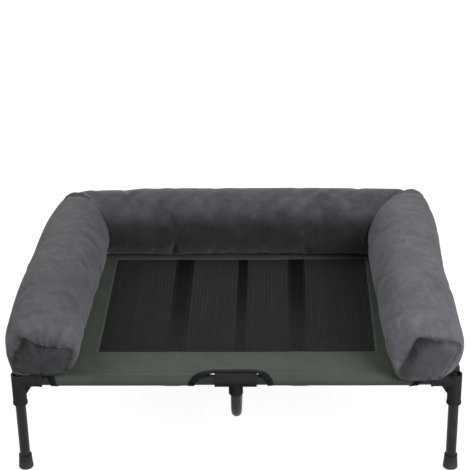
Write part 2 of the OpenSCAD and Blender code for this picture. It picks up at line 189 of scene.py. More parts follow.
# The round bite at each leg: its centre, in from the leg both ways, and its radius
BITE_IN = 0.030
BITE_R = 0.052
# The arch over each tee: its top, in from the rail, then the half flat and the shoulder to the left and right
ARCH_TOP = 0.004
ARCH_FLAT = np.array([0.034, 0.037])
ARCH_RUN = np.array([0.065, 0.040])
ARCH_RISE = 0.0355
ARCH_BEND = 1.75
# The lift where the arch rides on the tee, and how far it takes to die out along the rail and on the deck
TEE_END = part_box("tee_connector_front")[1].x
TEE_RIDE = 0.0045
TEE_RAMP = 0.032
TEE_FADE = 0.045
# The straps sewn under the border, with a row of stitches to each side of a strap's middle
strap_low, strap_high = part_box("strap_right")
STRAP_X = (strap_low.x + strap_high.x) / 2
STRAP_W = strap_high.x - strap_low.x
STRAP_LUMP = 0.0009
STITCH_IN = 0.018
STITCH_DENT = 0.0009
STITCH_WIDE = 0.0018
STRIPS = {
    "front": dict(turn=0.0, half=LEG_X, reach=LEG_Y, width=FRONT_BORDER, ends=(SIDE_BORDER, SIDE_BORDER),
                  arch=True, flare=(0.010, 0.022)),
    "back": dict(turn=np.pi, half=LEG_X, reach=LEG_Y, width=BACK_BORDER, ends=(SIDE_BORDER, SIDE_BORDER),
                 arch=True, flare=(0.010, 0.010)),
    "left": dict(turn=-np.pi / 2, half=LEG_Y, reach=LEG_X, width=SIDE_BORDER,
                 ends=(BACK_BORDER, FRONT_BORDER), arch=False, flare=(0.010, 0.010)),
    "right": dict(turn=np.pi / 2, half=LEG_Y, reach=LEG_X, width=SIDE_BORDER,
                  ends=(FRONT_BORDER, BACK_BORDER), arch=False, flare=(0.010, 0.010)),
}


def ease(start, end, value):
    """Smooth step: 3t² − 2t³ of how far the value has come from start to end."""
    t = np.clip((value - start) / (end - start), 0, 1)
    return t * t * (3 - 2 * t)


def sag(x, y):
    """How far the stretched deck hangs below its rails: a shallow dish, a parabola each way."""
    return SAG * np.clip(1 - (x / LEG_X) ** 2, 0, 1) * np.clip(1 - (y / LEG_Y) ** 2, 0, 1)


def ripple(strip, along, across):
    """Rise of a strip off its true surface: the lump of each strap sewn under it, with a dent along each row
    of its stitches, the lift where the arch's edge rides on the tee, the folded hem beside the mesh, the dent
    of the sleeve's seam, and slack waves that die out at the rail and at the mesh."""
    lump = 0.0
    if strip["arch"]:
        from_strap = np.abs(np.abs(along) - STRAP_X)
        lump = STRAP_LUMP * ease(0.5 * STRAP_W + 0.002, 0.5 * STRAP_W - 0.001, from_strap)
        lump = lump - STITCH_DENT * np.exp(-((from_strap - STITCH_IN) / STITCH_WIDE) ** 2)
        on_tee = ease(TEE_END + TEE_RAMP, TEE_END, np.abs(along))
        lump = lump + TEE_RIDE * ease(TEE_FADE, ARCH_TOP, across) * on_tee
    hem = HEM_LUMP * ease(strip["width"] - HEM - HEM_STEP, strip["width"] - HEM, across)
    seam_dent = SEAM_DENT * np.exp(-((across - SLEEVE_SEAM) / SEAM_WIDE) ** 2)
    slack = np.sin(np.pi * np.clip(across / strip["width"], 0, 1))
    wave = np.sin(along / WAVE_LONG + 2.1 * np.sin(along / WAVE_SWAY + strip["turn"]) + 40 * across)
    return lump + hem - seam_dent + SLACK_WAVE * slack * wave


def on_strip(strip, along, across):
    """Flat pattern to the frame: across > 0 is the distance in from the rail on the deck, and across < 0 is
    arc length round the sleeve: inward = R sin(across / R), height = R cos(across / R) about the rail."""
    bend = np.minimum(across, 0) / SLEEVE_R
    radius = SLEEVE_R + ripple(strip, along, across)
    inward = np.where(across > 0, across, radius * np.sin(bend)) - strip["reach"]
    x = along * np.cos(strip["turn"]) - inward * np.sin(strip["turn"])
    y = along * np.sin(strip["turn"]) + inward * np.cos(strip["turn"])
    height = RAIL_Z + radius * np.cos(bend) - np.where(across > 0, sag(x, y), 0)
    return np.stack([x, y, height], -1)


def strip_end(strip, across, side):
    """How far along the strip reaches: up to the mitre seam on the deck, less the round bite at the leg,
    whose edge flares on down the sleeve."""
    mitre = strip["ends"][side] * across / strip["width"]
    drop = np.maximum(across, 0) - BITE_IN
    bite = np.where(np.abs(drop) < BITE_R, BITE_IN + np.sqrt(np.maximum(BITE_R ** 2 - drop ** 2, 0)), 0)
    flare = strip["flare"][side] * np.clip(-across / (np.pi * SLEEVE_R), 0, 1)
    return strip["half"] - np.maximum(mitre, bite) - flare


def arch_edge(along):
    """Lower edge over a tee: flat at ARCH_TOP in from the rail, then down each shoulder on a quarter of the
    curve run ** p + rise ** p = 1, as shares of ARCH_RUN and ARCH_RISE. Seen from outside, the left shoulder
    is pulled longer."""
    side = (along > 0).astype(int)
    run = np.clip((np.abs(along) - ARCH_FLAT[side]) / ARCH_RUN[side], 0, 1)
    return ARCH_TOP - ARCH_RISE + ARCH_RISE * (1 - run ** ARCH_BEND) ** (1 / ARCH_BEND)


def arch_shoulder(side, count):
    """Places along one shoulder of the arch from its flat to its foot, flat + run sin(t) ** (2 / p) for t up
    to a quarter turn, which lie close together where the edge is steep."""
    return ARCH_FLAT[side] + ARCH_RUN[side] * np.sin(np.linspace(0, np.pi / 2, count)) ** (2 / ARCH_BEND)


def strip_pattern(strip):
    """Flat points of a strip, rows across from the sleeve's hidden edge to the mesh, columns along. Columns
    are fine on the arch and at the straps' stitches, rows below the arch's top close up to its edge, and past
    the straps the columns slide to the cut line of the end."""
    arch_end = ARCH_FLAT + ARCH_RUN
    fixed = STRAP_X + STITCH_IN + 0.03
    beyond = np.linspace(fixed, strip["half"], 56)[1:]
    left, right = (np.concatenate([np.linspace(0, ARCH_FLAT[k], 12)[1:-1], arch_shoulder(k, 22),
                                   np.linspace(arch_end[k] + 0.001, fixed, 60), beyond]) for k in (0, 1))
    column = np.concatenate([-left[::-1], [0.0], right])
    split = ARCH_TOP + 0.012
    lowest = np.full_like(column, -SLEEVE_WRAP)
    if strip["arch"]:
        in_arch = np.abs(column) <= arch_end[(column > 0).astype(int)] + 1e-9
        lowest = np.where(in_arch, arch_edge(column), lowest)
    low_rows = np.linspace(0, 1, 56)[:-1, None]
    across_low = lowest + (split - lowest) * low_rows
    across_deck = np.linspace(split, strip["width"], 26)[:, None] + 0 * column
    across = np.concatenate([across_low, across_deck])
    limit = np.where(column > 0, strip_end(strip, across, 1), strip_end(strip, across, 0))
    share = np.clip((np.abs(column) - fixed) / (strip["half"] - fixed), 0, 1)
    reach = np.where(np.abs(column) < fixed, np.abs(column), fixed + share * (limit - fixed))
    return np.sign(column) * reach, across


def grid_quads(rows, columns, closed=False):
    """Faces of a grid of points stored row by row; closed joins the last column to the first."""
    index = np.arange(rows * columns).reshape(rows, columns)
    if closed:
        index = np.hstack([index, index[:, :1]])
    return np.stack([index[:-1, :-1], index[:-1, 1:], index[1:, 1:], index[1:, :-1]], -1).reshape(-1, 4)


def make_piece(name, points, faces, finish, body):
    """Puts points and faces into a smooth mesh object with its finish, body and slot."""
    mesh = bpy.data.meshes.new(name)
    mesh.from_pydata(points.reshape(-1, 3).tolist(), [], [list(face) for face in faces])
    mesh.shade_smooth()
    piece = bpy.data.objects.new(name, mesh)
    bpy.context.scene.collection.objects.link(piece)
    mesh.materials.append(finish)
    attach(piece, body)
    return piece


def lay_pattern(piece, flat):
    """Keeps each point's flat place, in metres, as the piece's UV map."""
    corner = np.empty(len(piece.data.loops), np.int32)
    piece.data.loops.foreach_get("vertex_index", corner)
    layer = piece.data.uv_layers.new(name="flat_pattern")
    layer.uv.foreach_set("vector", flat.reshape(-1, 2)[corner].astype(np.float32).ravel())


def wave_scale(size):
    """Scale of a wave texture that turns one radian in `size` millimetres, as the node turns 20 in one unit.
    Its bands lie 2 pi sizes apart."""
    return per_mm(size) / 20


def coated_polyester(name, dark, pale, thread):
    """Plain-woven coated polyester: over-and-under squares of `thread` millimetres, drawn coarser than the
    real 0.6 mm so that they show, a soft rise and fall every six squares, slow fading, and a slight sheen."""
    finish, tree, shader = new_finish(name, Sheen_Weight=0.08, Sheen_Roughness=0.5, IOR=1.5,
                                      Specular_IOR_Level=0.15)
    flat = add(tree, "UVMap", uv_map="flat_pattern").outputs["UV"]
    where = add(tree, "TexCoord").outputs["Object"]
    warp, weft = (add(tree, "TexWave", {"Vector": flat, "Scale": wave_scale(thread)}, bands_direction=way,
                      wave_profile="SIN").outputs["Fac"] for way in "XY")
    check = add(tree, "TexChecker", {"Vector": flat, "Scale": per_mm(thread)}).outputs["Fac"]
    weave = add(tree, "Mix", {0: check, 2: warp, 3: weft})
    fade = add(tree, "TexNoise", {"Vector": where, "Scale": per_mm(90), "Detail": 5.0, "Roughness": 0.6})
    tone = add(tree, "MapRange", {"Value": fade, "From Min": 0.3, "From Max": 0.7})
    cloth = add(tree, "Mix", {0: tone, 6: linear(dark), 7: linear(pale)}, data_type="RGBA")
    gap = add(tree, "MapRange", {"Value": weave, "To Min": 0.94, "To Max": 1.03})
    colour = add(tree, "VectorMath", {0: cloth, 1: gap}, operation="MULTIPLY")
    rough = add(tree, "MapRange", {"Value": fade, "To Min": 0.55, "To Max": 0.75})
    relief = add(tree, "Bump", {"Height": weave, "Strength": 0.2, "Distance": 0.0003})
    feed(tree, shader, {"Base Color": colour, "Roughness": rough, "Normal": relief})
    return finish


sage_cloth = coated_polyester("coated_polyester_sage", "#424a41", "#4c554b", thread=1.4)
for side, strip in STRIPS.items():
    along, across = strip_pattern(strip)
    cover = make_piece("border_" + side, on_strip(strip, along, across), grid_quads(*along.shape), sage_cloth,
                       "frame")
    lay_pattern(cover, np.stack([along, across], -1))
    cover.modifiers.new("cloth", "SOLIDIFY").thickness = CLOTH
    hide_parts("cover_" + side)


# Mesh panel: a close weave of coated polyester yarn, charcoal, welded where the yarns cross and sewn under
# the border's inner hem. Ribs run front to back, pressed flat until they touch, and every third is paler.
# The ribs' tone holds painted light, paler towards the back, and painted shadow bands over the straps and
# the brace.
RIB_PITCH = 0.0031
RIB_W = 0.00311
RIB_H = 0.0003
WEFT_PITCH = 0.0025
WEFT_W = 0.0009
WEFT_H = 0.0009
WEFT_DROP = 0.00042
HEM_GAP = 0.0007
MESH_Z = DECK_TOP - CLOTH - HEM_GAP
# Painted tone of a rib: at the front, and the painted light it gains at the back; then the same for the
# painted shade over a strap or the brace
RIB_TONE = 0.17
RIB_PAINTED_BACK_LIGHT = 0.40
PAINTED_SHADE_TONE = 0.02
PAINTED_SHADE_BACK_LOSS = 0.12
# One slack fold near the back left corner: its middle, its direction, how high, wide and long it is
FOLD_X = -0.255
FOLD_Y = 0.165
FOLD_WAY = (0.87, 0.5)
FOLD_RISE = 0.0035
FOLD_WIDE = 0.011
FOLD_LONG = 0.05
# The brace lies well below the mesh, so the painted shadow band for it on the ribs lies a little to the right
# of it
TUBE_R = (rail_high.z - rail_low.z) / 2
BRACE_SHADOW_X = 0.008


def mesh_height(x, y):
    """Middle of the mesh: the deck's sag, and a fold rise * exp(-(beside / wide)² - (along / long)²)."""
    along = (x - FOLD_X) * FOLD_WAY[0] + (y - FOLD_Y) * FOLD_WAY[1]
    beside = (y - FOLD_Y) * FOLD_WAY[0] - (x - FOLD_X) * FOLD_WAY[1]
    fold = FOLD_RISE * np.exp(-(beside / FOLD_WIDE) ** 2 - (along / FOLD_LONG) ** 2)
    return MESH_Z - sag(x, y) + fold


def yarn_set(place, run, lengthways, width, height):
    """One set of parallel yarns, each a diamond section carried along its run over the sagging deck. The
    points come out as yarn by step by corner of the section."""
    corner = np.array([[-0.5, 0], [0, -0.5], [0.5, 0], [0, 0.5]]) * (width, height)
    side, step = np.broadcast_arrays(place[:, None, None] + corner[:, 0], run[:, None])
    x, y = (side, step) if lengthways else (step, side)
    return np.stack([x, y, mesh_height(x, y) + corner[:, 1]], -1)


def yarn_faces(yarns, steps):
    """Faces of a set of yarns: the tube between steps and a cap on both ends."""
    tube = grid_quads(steps, 4, closed=True)
    caps = np.array([[3, 2, 1, 0], [0, 1, 2, 3]]) + np.array([[0], [4 * (steps - 1)]])
    one = np.concatenate([tube, caps])
    return (one[None] + 4 * steps * np.arange(yarns)[:, None, None]).reshape(-1, 4)


def paint_rib_light(x, y):
    """Painted tone of each rib along its run: all ribs painted paler towards the back, for light seen up
    through the mesh, and every third rib paler still there; those with a strap or the brace under them get
    painted shade instead, darkest at the back, because no light comes up through them there."""
    back = ease(mesh_low.y, mesh_high.y, y)
    third = np.arange(len(x))[:, None] % 3 == 0
    off_strap = np.abs(np.abs(x) - STRAP_X) - STRAP_W / 2
    off_brace = np.abs(x - BRACE_SHADOW_X) - TUBE_R
    painted_shade_over = np.minimum(off_strap, off_brace)[:, None] < 0
    streak = third * chance.uniform(0.1, 0.9, (len(x), 1)) * (0.1 + 0.9 * back)
    plain = RIB_TONE + RIB_PAINTED_BACK_LIGHT * back + streak
    return np.where(painted_shade_over, PAINTED_SHADE_TONE - PAINTED_SHADE_BACK_LOSS * back, plain)


def coated_yarn():
    """PVC-coated yarn: charcoal, a soft plastic gloss, each yarn a tone of its own from the piece's
    attribute, which on the ribs also holds painted light and shade, and slow clouds 60 mm across."""
    finish, tree, shader = new_finish("coated_yarn", Roughness=0.6, IOR=1.5, Specular_IOR_Level=0.12)
    tone = add(tree, "Attribute", attribute_name="tone").outputs["Fac"]
    where = add(tree, "TexCoord").outputs["Object"]
    cloud = add(tree, "TexNoise", {"Vector": where, "Scale": per_mm(60), "Detail": 5.0})
    mixed = add(tree, "Math", {0: cloud, 1: 0.3, 2: tone}, operation="MULTIPLY_ADD")
    colour = add(tree, "Mix", {0: mixed, 6: linear("#0c0c0c"), 7: linear("#3c3c3c")}, data_type="RGBA")
    feed(tree, shader, {"Base Color": colour})
    return finish


chance = np.random.default_rng(7)
rib_x = np.arange(mesh_low.x - HEM, mesh_high.x + HEM, RIB_PITCH)
weft_y = np.arange(mesh_low.y - HEM, mesh_high.y + HEM, WEFT_PITCH)
rib_run = np.linspace(mesh_low.y - HEM, mesh_high.y + HEM, 46)
weft_run = np.linspace(mesh_low.x - HEM, mesh_high.x + HEM, 56)
ribs = yarn_set(rib_x, rib_run, True, RIB_W, RIB_H)
wefts = yarn_set(weft_y, weft_run, False, WEFT_W, WEFT_H)
wefts[..., 2] -= WEFT_DROP
rib_tone_and_painted_light = paint_rib_light(rib_x, rib_run)
weft_tone = chance.uniform(-0.1, 0.1, len(weft_y))
yarn_points = np.concatenate([ribs.reshape(-1, 3), wefts.reshape(-1, 3)])
yarn_quads = np.concatenate([yarn_faces(len(rib_x), len(rib_run)),
                             yarn_faces(len(weft_y), len(weft_run)) + ribs.size // 3])
mesh_panel = make_piece("mesh_deck", yarn_points, yarn_quads, coated_yarn(), "frame")
yarn_tone = np.concatenate([np.repeat(rib_tone_and_painted_light, 4), np.repeat(weft_tone, 4 * len(weft_run))])
tones = mesh_panel.data.attributes.new("tone", "FLOAT", "POINT")
tones.data.foreach_set("value", yarn_tone.astype(np.float32))
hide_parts("mesh_panel")


# Straps: two bands of black polypropylene webbing, woven flat, which lie under the mesh and take the load off
# it. Each is sewn into the border at the front and at the back.
STRAP_T = 0.0015
STRAP_GAP = 0.0004
STRAP_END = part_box("strap_left")[1].y
STRAP_STEPS = 72


def capped(rows, columns):
    """Faces of rings stored row by row, each closed, with a flat cap on the first and the last."""
    last = columns * (rows - 1)
    caps = [list(range(columns))[::-1], list(range(last, last + columns))]
    return grid_quads(rows, columns, closed=True).tolist() + caps


def carry(profile, path, aside, up):
    """A closed profile carried along a path, with flat ends: point = path + a aside + b up for each a, b."""
    points = path[:, None] + profile[None, :, :1] * aside[:, None] + profile[None, :, 1:] * up[:, None]
    return points, capped(len(path), len(profile))


def face_out(piece):
    """Turns the faces of a closed piece outwards."""
    work = bmesh.new()
    work.from_mesh(piece.data)
    bmesh.ops.recalc_face_normals(work, faces=work.faces)
    work.to_mesh(piece.data)
    work.free()


def run_length(path):
    """Distance along a path at each of its points."""
    return np.concatenate([[0.0], np.cumsum(np.linalg.norm(np.diff(path, axis=0), axis=1))])


def woven_tape(name, dark, pale, rib):
    """Woven tape with ribs across it, painted paler where they would catch the light, over a matte dark
    thread.
    The real ribs are `rib` millimetres apart and are drawn six times coarser so that they show."""
    finish, tree, shader = new_finish(name, Roughness=0.8, Sheen_Weight=0.03, IOR=1.5,
                                      Specular_IOR_Level=0.06)
    flat = add(tree, "UVMap", uv_map="flat_pattern").outputs["UV"]
    rows = add(tree, "TexWave", {"Vector": flat, "Scale": wave_scale(rib), "Distortion": 0.6, "Detail": 1.0},
               bands_direction="Y", wave_profile="SIN").outputs["Fac"]
    fuzz = add(tree, "TexNoise", {"Vector": flat, "Scale": per_mm(6), "Detail": 6.0})
    painted_rib_highlight = add(tree, "Math", {0: rows, 1: fuzz}, operation="MULTIPLY")
    colour = add(tree, "Mix", {0: painted_rib_highlight, 6: linear(dark), 7: linear(pale)}, data_type="RGBA")
    relief = add(tree, "Bump", {"Height": rows, "Strength": 0.5, "Distance": 0.0003})
    feed(tree, shader, {"Base Color": colour, "Normal": relief})
    return finish


edge_turn = np.linspace(-np.pi / 2, np.pi / 2, 7)
half_round = np.stack([STRAP_W / 2 - STRAP_T / 2 + np.cos(edge_turn) * STRAP_T / 2,
                       np.sin(edge_turn) * STRAP_T / 2], -1)
strap_profile = np.concatenate([half_round, -half_round])
webbing = woven_tape("polypropylene_webbing", "#070708", "#141516", rib=2.2)
for side, strap_x in (("left", -STRAP_X), ("right", STRAP_X)):
    y = np.linspace(-STRAP_END, STRAP_END, STRAP_STEPS)
    x = np.full_like(y, strap_x)
    z = MESH_Z - RIB_H / 2 - STRAP_T / 2 - STRAP_GAP - sag(x, y)
    path = np.stack([x, y, z], -1)
    aside, up = (np.tile(way, (STRAP_STEPS, 1)) for way in ([-1.0, 0, 0], [0, 0, 1.0]))
    points, faces = carry(strap_profile, path, aside, up)
    strap = make_piece("strap_webbing_" + side, points, faces, webbing, "frame")
    flat = np.broadcast_arrays(strap_profile[None, :, 0], run_length(path)[:, None])
    lay_pattern(strap, np.stack(flat, -1))
    face_out(strap)
    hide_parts("strap_" + side)


# Bindings: black ribbed tape, 14 mm wide, folded over every cut edge of the border and sewn through: round
# the bite at each corner, from under one rail to under the next, and round the arch over each tee.
BIND_W = 0.014
HIDDEN = -5.0 * SLEEVE_R
BITES = {
    "front_left": (("front", 0), ("left", 1)),
    "front_right": (("front", 1), ("right", 0)),
    "back_left": (("back", 1), ("left", 0)),
    "back_right": (("back", 0), ("right", 1)),
}


def cut_edge(strip, along, across):
    """A cut line on a strip: its points, the way into the cloth from it and the way out of the cloth's face.
    The way in is the flat line's own direction turned a quarter left, carried onto the surface."""
    step = 1e-4
    points = on_strip(strip, along, across)
    by_along = (on_strip(strip, along + step, across) - on_strip(strip, along - step, across)) / (2 * step)
    by_across = (on_strip(strip, along, across + step) - on_strip(strip, along, across - step)) / (2 * step)
    out = np.cross(by_along, by_across)
    out /= np.linalg.norm(out, axis=1, keepdims=True)
    run = np.stack([np.gradient(along), np.gradient(across)], -1)
    run /= np.linalg.norm(run, axis=1, keepdims=True)
    inward = run[:, :1] * by_across - run[:, 1:] * by_along
    inward /= np.linalg.norm(inward, axis=1, keepdims=True)
    return points, inward, out


def bite_edge(strip, side):
    """Half of a corner's cut edge, on one strip: from under the rail up to the mitre seam."""
    trial = np.linspace(0, strip["width"], 4001)
    mitre = strip["half"] - strip["ends"][side] * trial / strip["width"]
    top = trial[np.abs(mitre - strip_end(strip, trial, side)) > 1e-6].max()
    across = np.concatenate([np.linspace(HIDDEN, 0, 36)[:-1], np.linspace(0, top, 22)])
    points, inward, out = cut_edge(strip, (2 * side - 1) * strip_end(strip, across, side), across)
    return points, inward * (2 * side - 1), out


wide = 1000 * BIND_W
tape_profile = np.array([(wide, 1.0), (0.5, 1.0), (-1.2, 0.6), (-1.8, -0.4), (-1.2, -1.3), (0.5, -1.55),
                         (wide, -1.55), (wide, -1.25), (0.3, -1.25), (-0.7, -0.5), (0.3, 0.2),
                         (wide, 0.2)]) / 1000
tape_around = run_length(tape_profile)
binding = woven_tape("ribbed_binding_tape", "#151516", "#252627", rib=1.8)
bound_edges = {}
for corner, halves in BITES.items():
    up_side, down_side = (bite_edge(STRIPS[side], end) for side, end in halves)
    whole = [np.concatenate([a[:-1], b[::-1]]) for a, b in zip(up_side, down_side)]
    bound_edges["corner_binding_" + corner] = whole
for side in ("front", "back"):
    hidden_run = np.linspace(HIDDEN, ARCH_TOP - ARCH_RISE, 10)[:-1]
    left, right = (arch_shoulder(k, 26) for k in (0, 1))
    feet = [np.full(len(hidden_run), foot) for foot in ARCH_FLAT + ARCH_RUN]
    flat_along = np.linspace(-ARCH_FLAT[0], ARCH_FLAT[1], 16)[1:-1]
    over_tee = np.concatenate([-left[::-1], flat_along, right])
    arch_along = np.concatenate([-feet[0], over_tee, feet[1]])
    arch_across = np.concatenate([hidden_run, arch_edge(over_tee), hidden_run[::-1]])
    bound_edges["arch_binding_" + side] = cut_edge(STRIPS[side], arch_along, arch_across)
for name, (points, inward, out) in bound_edges.items():
    tape_points, faces = carry(tape_profile, points, inward, out)
    tape = make_piece(name.replace("binding", "tape"), tape_points, faces, binding, "frame")
    lay_pattern(tape, np.stack(np.broadcast_arrays(tape_around[None], run_length(points)[:, None]), -1))
    face_out(tape)
    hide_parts(name)


# Stitching: lockstitch in polyester thread, dark green on the border and grey on tape and straps. Two rows
# hold the mesh under the hem, pairs follow the straps, and single rows follow sleeves, mitres and bindings.
STITCH_PITCH = 0.0042
STITCH_LONG = 0.0031
THREAD = 0.0011
HEM_ROWS = (0.003, 0.009)
ROW_END = 0.004
BESIDE_ARCH = 0.015
MITRE_FROM = 0.06
TAPE_ROW = 0.8 * BIND_W
OVER_TAPE = 0.0011


def stitch_row(path, out):
    """Stitches along a path: each is a spindle, two tips sunk in the cloth and a waist of four points."""
    run = run_length(path)
    at = np.arange(0.5 * STITCH_PITCH, run[-1], STITCH_PITCH)
    centre, ahead, back, up = (np.stack([np.interp(at + shift, run, column[:, k]) for k in range(3)], -1)
                               for shift, column in ((0, path), (1e-3, path), (-1e-3, path), (0, out)))
    along = (ahead - back) / np.linalg.norm(ahead - back, axis=1, keepdims=True)
    aside = np.cross(along, up)
    tip = along * STITCH_LONG / 2
    sunk = 0.3 * THREAD * up
    return np.stack([centre - tip - sunk, centre + tip - sunk, centre + THREAD / 2 * up,
                     centre + THREAD / 2 * aside, centre - THREAD / 2 * up, centre - THREAD / 2 * aside], 1)


def polyester_thread(name, code):
    """Sewing thread: twisted filament with a soft gloss. Its ply, 0.7 mm in the real thread, is drawn as
    slanted bands 5 mm apart, which show as a change of tone from stitch to stitch."""
    finish, tree, shader = new_finish(name, Roughness=0.5, Sheen_Weight=0.1, IOR=1.5, Specular_IOR_Level=0.2)
    where = add(tree, "TexCoord").outputs["Object"]
    ply = add(tree, "TexWave", {"Vector": where, "Scale": wave_scale(0.7)}, bands_direction="DIAGONAL")
    shade = add(tree, "MapRange", {"Value": ply.outputs["Fac"], "To Min": 0.75, "To Max": 1.1})
    colour = add(tree, "VectorMath", {0: linear(code)[:3], 1: shade}, operation="MULTIPLY")
    feed(tree, shader, {"Base Color": colour})
    return finish


def sew(name, rows, finish):
    """One piece of all the stitches of some rows, each row a path and the way out of the cloth."""
    points = np.concatenate([stitch_row(path, out) for path, out in rows])
    spindle = np.array([[0, 3, 2], [0, 4, 3], [0, 5, 4], [0, 2, 5],
                        [1, 2, 3], [1, 3, 4], [1, 4, 5], [1, 5, 2]])
    faces = (spindle[None] + 6 * np.arange(len(points))[:, None, None]).reshape(-1, 3)
    stitches = make_piece(name, points, faces, finish, "frame")
    face_out(stitches)


border_rows = []
for side, strip in STRIPS.items():
    for inset in HEM_ROWS:
        across = np.full(160, strip["width"] - inset)
        low = -strip_end(strip, across[:1], 0)[0] + ROW_END
        high = strip_end(strip, across[:1], 1)[0] - ROW_END
        border_rows.append((strip, np.linspace(low, high, 160), across))
    across = np.full(120, SLEEVE_SEAM)
    reach = strip_end(strip, across[:1], 1)[0] - BIND_W
    beside = (ARCH_FLAT + ARCH_RUN).max() + BIND_W + BESIDE_ARCH
    for low, high in ((-reach, -beside), (beside, reach)) if strip["arch"] else ((-reach, reach),):
        border_rows.append((strip, np.linspace(low, high, 120), across))
    for end in (0, 1):
        across = np.linspace(MITRE_FROM, strip["width"] - ROW_END, 60)
        border_rows.append((strip, (2 * end - 1) * (strip_end(strip, across, end) - ROW_END), across))
    if strip["arch"]:
        for strap_x in (-STRAP_X, STRAP_X):
            for edge in (-STITCH_IN, STITCH_IN):
                across = np.linspace(-3.0 * SLEEVE_R, strip["width"] - 0.001, 60)
                border_rows.append((strip, np.full(60, strap_x + edge), across))
sew("border_stitching", [cut_edge(*row)[::2] for row in border_rows],
    polyester_thread("sage_thread", "#1a201a"))
tape_rows = [(points + TAPE_ROW * inward + OVER_TAPE * out, out)
             for points, inward, out in bound_edges.values()]
for strap_x in (-STRAP_X, STRAP_X):
    for edge in (-STITCH_IN, STITCH_IN):
        y = np.linspace(mesh_low.y + 0.002, mesh_high.y - 0.002, 80)
        x = np.full_like(y, strap_x + edge)
        path = np.stack([x, y, mesh_height(x, y) + RIB_H / 2], -1)
        tape_rows.append((path, np.tile([0, 0, 1.0], (80, 1))))
sew("tape_stitching", tape_rows, polyester_thread("grey_thread", "#4b4c4d"))


# Patches: squares of hook and loop tape, 40 mm across. The loop squares are sewn to the border, and the hook
# squares face them from under the bolster, two to each roll.
PATCH = 0.040


def tape_square(low, high):
    """A sewn square: the rounded outline |x|⁶ + |y|⁶ = 1 carried up through six levels, narrower at the
    faces."""
    turn = np.linspace(0, 2 * np.pi, 48, endpoint=False)
    blunt = (np.abs(np.cos(turn)) ** 6 + np.abs(np.sin(turn)) ** 6) ** (-1 / 6)
    level = np.array([(0.5, 0.0), (0.96, 0.0), (1.0, 0.25), (1.0, 0.75), (0.96, 1.0), (0.5, 1.0)])
    size = [(high[k] - low[k]) / 2 for k in (0, 1)]
    middle = [(high[k] + low[k]) / 2 for k in (0, 1)]
    x = middle[0] + size[0] * level[:, :1] * blunt * np.cos(turn)
    y = middle[1] + size[1] * level[:, :1] * blunt * np.sin(turn)
    z = np.broadcast_to(low[2] + (high[2] - low[2]) * level[:, 1:], x.shape)
    return np.stack([x, y, z], -1).reshape(-1, 3), capped(len(level), len(turn))


def gripping_tape(name, code, pile):
    """Hook and loop tape: a dull dark nylon pile whose tufts stand `pile` millimetres apart."""
    finish, tree, shader = new_finish(name, Roughness=0.85, Sheen_Weight=0.2, IOR=1.53,
                                      Specular_IOR_Level=0.1)
    where = add(tree, "TexCoord").outputs["Object"]
    tuft = add(tree, "TexVoronoi", {"Vector": where, "Scale": per_mm(pile)})
    shade = add(tree, "MapRange", {"Value": tuft, "To Min": 1.3, "To Max": 0.5})
    colour = add(tree, "VectorMath", {0: linear(code)[:3], 1: shade}, operation="MULTIPLY")
    relief = add(tree, "Bump", {"Height": shade, "Strength": 0.6, "Distance": 0.0005})
    feed(tree, shader, {"Base Color": colour, "Normal": relief})
    return finish


patch_centres = []
for kind, body, finish in (("loop", "frame", gripping_tape("nylon_loop_pile", "#26272a", 1.3)),
                           ("hook", "bolster", gripping_tape("nylon_hooks", "#1f2023", 1.7))):
    for side in ("left", "right", "back"):
        node = kind + "_patches_" + side
        axis = 0 if side == "back" else 1
        low, high = (np.array(corner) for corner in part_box(node))
        points, faces = [], []
        for first in (True, False):
            one_low, one_high = low.copy(), high.copy()
            if first:
                one_high[axis] = low[axis] + PATCH
            else:
                one_low[axis] = high[axis] - PATCH
            centre = (one_low + one_high) / 2
            drop = sag(centre[0], centre[1])
            one_low[2] -= drop
            one_high[2] -= drop
            square, quads = tape_square(one_low, one_high)
            faces += [[corner + len(square) * len(points) for corner in quad] for quad in quads]
            points.append(square)
            patch_centres.append(centre)
        patch = make_piece(kind + "_squares_" + side, np.concatenate(points), faces, finish, body)
        face_out(patch)
        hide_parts(node)


# Bolster: one U-shaped cushion of three rolls in grey short-pile velvet, sewn together at two mitred corners
# and closed by a panel at each front end. Loose fibre fills it, and it rests on the border all along.
side_low, side_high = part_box("bolster_cover_right")
back_low, back_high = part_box("bolster_cover_back")
ROLL_X = (side_low.x + side_high.x) / 2
ROLL_Y = (back_low.y + back_high.y) / 2
ROLL_HALF = 0.090
ROLL_TALL = 0.168
ROLL_FLAT = 0.006
ROLL_CLEAR = 0.0006
AROUND = 72
MOST_SWELL = 0.010
# The mitre seams: the lip that stands up beside each, and how deep the seam is drawn in
SEAM_LIP = 0.002
SEAM_DEEP = 0.0025
# What the rolls lie on: the connectors' sleeves, how far cloth sinks in the bites, and the gripping squares
CORNER_R = 0.0172
CORNER_SLEEVE = 0.058
NOTCH_SAG = 0.006
PATCH_LIFT = 0.0015
# How far from the mitred corners the rolls round off, rise and turn
CORNER_REACH = 0.15
CORNER_RISE = 0.022
MITRE_REACH = 0.24
# How far from its front end a roll closes to the panel, and the panel's rings as shares of its rim
PANEL_DEPTH = 0.085
PANEL_BLEND = 2.2
PANEL_CROWN = 0.008
PANEL_SHARE = np.array([0.97, 0.92, 0.86, 0.78, 0.68, 0.56, 0.43, 0.30, 0.17])
# The back roll: how far its front is drawn back under it, the share of it that eases to each mitre, and how
# pale it is painted on its front and its back: painted shade down its front face
BACK_UNDERCUT = 0.013
BACK_EASE = 0.17
BACK_PAINTED_LIGHT = (0.28, 0.95)
